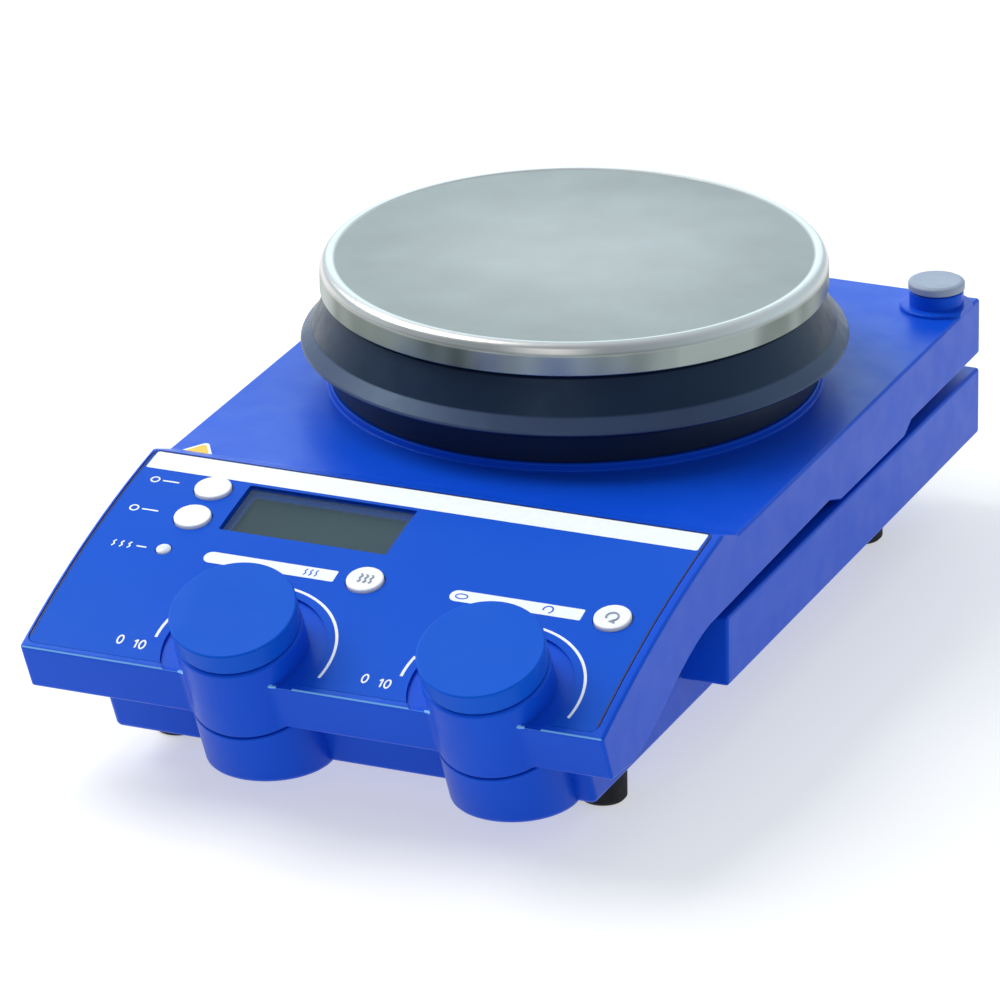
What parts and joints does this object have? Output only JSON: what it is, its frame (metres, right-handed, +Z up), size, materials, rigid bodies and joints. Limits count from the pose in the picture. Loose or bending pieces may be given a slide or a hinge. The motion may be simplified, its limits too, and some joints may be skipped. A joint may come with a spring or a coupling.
{
  "type": "heated magnetic stirrer",
  "caption": "Benchtop magnetic stirrer with a round heated steel plate, a hooded control panel with display and dials, and a two-part coated metal case on rubber feet.",
  "frame": {"origin": "centre of the outline at table height, under the feet", "axes": "+Z up, control panel and dials towards -Y, rear sockets towards +Y, +X to the right seen from the front"},
  "size_m": [0.16, 0.2797, 0.095],
  "materials": {
    "blue_coating": "satin powder coat on cast alloy",
    "blue_knob": "satin moulded plastic",
    "panel_print": "printed overlay with a soft sheen",
    "plate_steel": "fine satin with a bright rolled edge",
    "dark_ring": "dark glossy heat-resistant moulding",
    "black_plastic": "moulded, lightly textured",
    "black_rubber": "matt",
    "white_button": "satin",
    "grey_plug": "satin moulded plastic",
    "window": "clear glossy pane",
    "display_cell": "dark liquid-crystal cell",
    "lamp_lens": "clear tinted lens",
    "circuit_board": "solder mask",
    "wool": "pressed mineral fibre",
    "steel": "plain machined",
    "magnet": "nickel plated",
    "brass": "machined",
    "copper": "wound wire and resistance strip",
    "cast_alloy": "bare pressed or extruded"
  },
  "bodies": {
    "case": {"upper_housing": "blue_coating", "panel_film": "panel_print", "display_window": "window", "display_module": "display_cell", "heat_lamp_lens": "lamp_lens", "front_board": "circuit_board", "heat_encoder": "brass", "heat_knob_seal": "black_rubber", "speed_encoder": "brass", "speed_knob_seal": "black_rubber", "lower_housing": "blue_coating", "base_tray": "blue_coating", "front_left_foot": "black_rubber", "front_right_foot": "black_rubber", "rear_left_foot": "black_rubber", "rear_right_foot": "black_rubber", "chassis_frame": "black_plastic", "case_screw_1": "steel", "case_screw_2": "steel", "case_screw_3": "steel", "case_screw_4": "steel", "setup_plate": "plate_steel", "plate_ring": "dark_ring", "heating_element": "copper", "insulation_disc": "wool", "heat_shield": "cast_alloy", "plate_post_1": "steel", "plate_post_2": "steel", "plate_post_3": "steel", "plate_sensor": "steel", "safety_sensor": "steel", "motor_can": "black_plastic", "upper_bearing": "steel", "lower_bearing": "steel", "motor_bracket": "cast_alloy", "main_board": "circuit_board", "transformer": "copper", "heater_relay": "black_plastic", "heat_sink": "cast_alloy", "power_inlet": "black_plastic", "rocker_frame": "black_plastic", "fuse_holder": "black_plastic", "serial_socket": "steel", "sensor_socket": "brass"},
    "heat_dial": {"heat_knob": "blue_knob", "heat_knob_shaft": "steel"},
    "speed_dial": {"speed_knob": "blue_knob", "speed_knob_shaft": "steel"},
    "mode_key": {"mode_button": "white_button"},
    "unit_key": {"unit_button": "white_button"},
    "heat_key": {"heat_button": "white_button"},
    "stir_key": {"stir_button": "white_button"},
    "stir_rotor": {"motor_shaft": "steel", "magnet_holder": "black_plastic", "magnet_left": "magnet", "magnet_right": "magnet"},
    "mains_rocker": {"rocker_switch": "black_plastic"},
    "fuse_carrier": {"fuse_cap": "black_plastic"},
    "limit_adjuster": {"limit_screw": "brass"},
    "rod_plug": {"rod_hole_plug": "grey_plug"}
  },
  "joints": [
    {"name": "heat_dial_turn", "type": "hinge", "parent": "case", "child": "heat_dial", "pos_m": [-0.02226, -0.12518, 0.05688], "axis": [0, 0.4147, -0.91], "range_deg": [0, 270]},
    {"name": "speed_dial_turn", "type": "hinge", "parent": "case", "child": "speed_dial", "pos_m": [0.04537, -0.12518, 0.05688], "axis": [0, 0.4147, -0.91], "range_deg": [0, 270]},
    {"name": "mode_key_press", "type": "slide", "parent": "case", "child": "mode_key", "axis": [0, 0.1935, -0.9811], "range_m": [0, 0.0008], "stiffness_N_per_m": 1500},
    {"name": "unit_key_press", "type": "slide", "parent": "case", "child": "unit_key", "axis": [0, 0.2334, -0.9724], "range_m": [0, 0.0008], "stiffness_N_per_m": 1500},
    {"name": "heat_key_press", "type": "slide", "parent": "case", "child": "heat_key", "axis": [0, 0.2761, -0.9611], "range_m": [0, 0.0008], "stiffness_N_per_m": 1500},
    {"name": "stir_key_press", "type": "slide", "parent": "case", "child": "stir_key", "axis": [0, 0.2754, -0.9613], "range_m": [0, 0.0008], "stiffness_N_per_m": 1500},
    {"name": "stir_rotor_spin", "type": "hinge", "parent": "case", "child": "stir_rotor", "pos_m": [0, 0.04515, 0.06], "axis": [0, 0, 1], "continuous": true},
    {"name": "mains_rocker_tilt", "type": "hinge", "parent": "case", "child": "mains_rocker", "pos_m": [-0.0095, 0.1275, 0.0236], "axis": [0, 0, 1], "range_deg": [0, 16]},
    {"name": "fuse_carrier_turn", "type": "hinge", "parent": "case", "child": "fuse_carrier", "pos_m": [0.01, 0.1335, 0.0236], "axis": [0, 1, 0], "range_deg": [0, 90]},
    {"name": "limit_adjuster_turn", "type": "hinge", "parent": "case", "child": "limit_adjuster", "pos_m": [0.034, 0.131, 0.0315], "axis": [0, 1, 0], "range_deg": [0, 270]},
    {"name": "rod_plug_lift", "type": "slide", "parent": "case", "child": "rod_plug", "axis": [0, 0, 1], "range_m": [0, 0.02]}
  ]
}
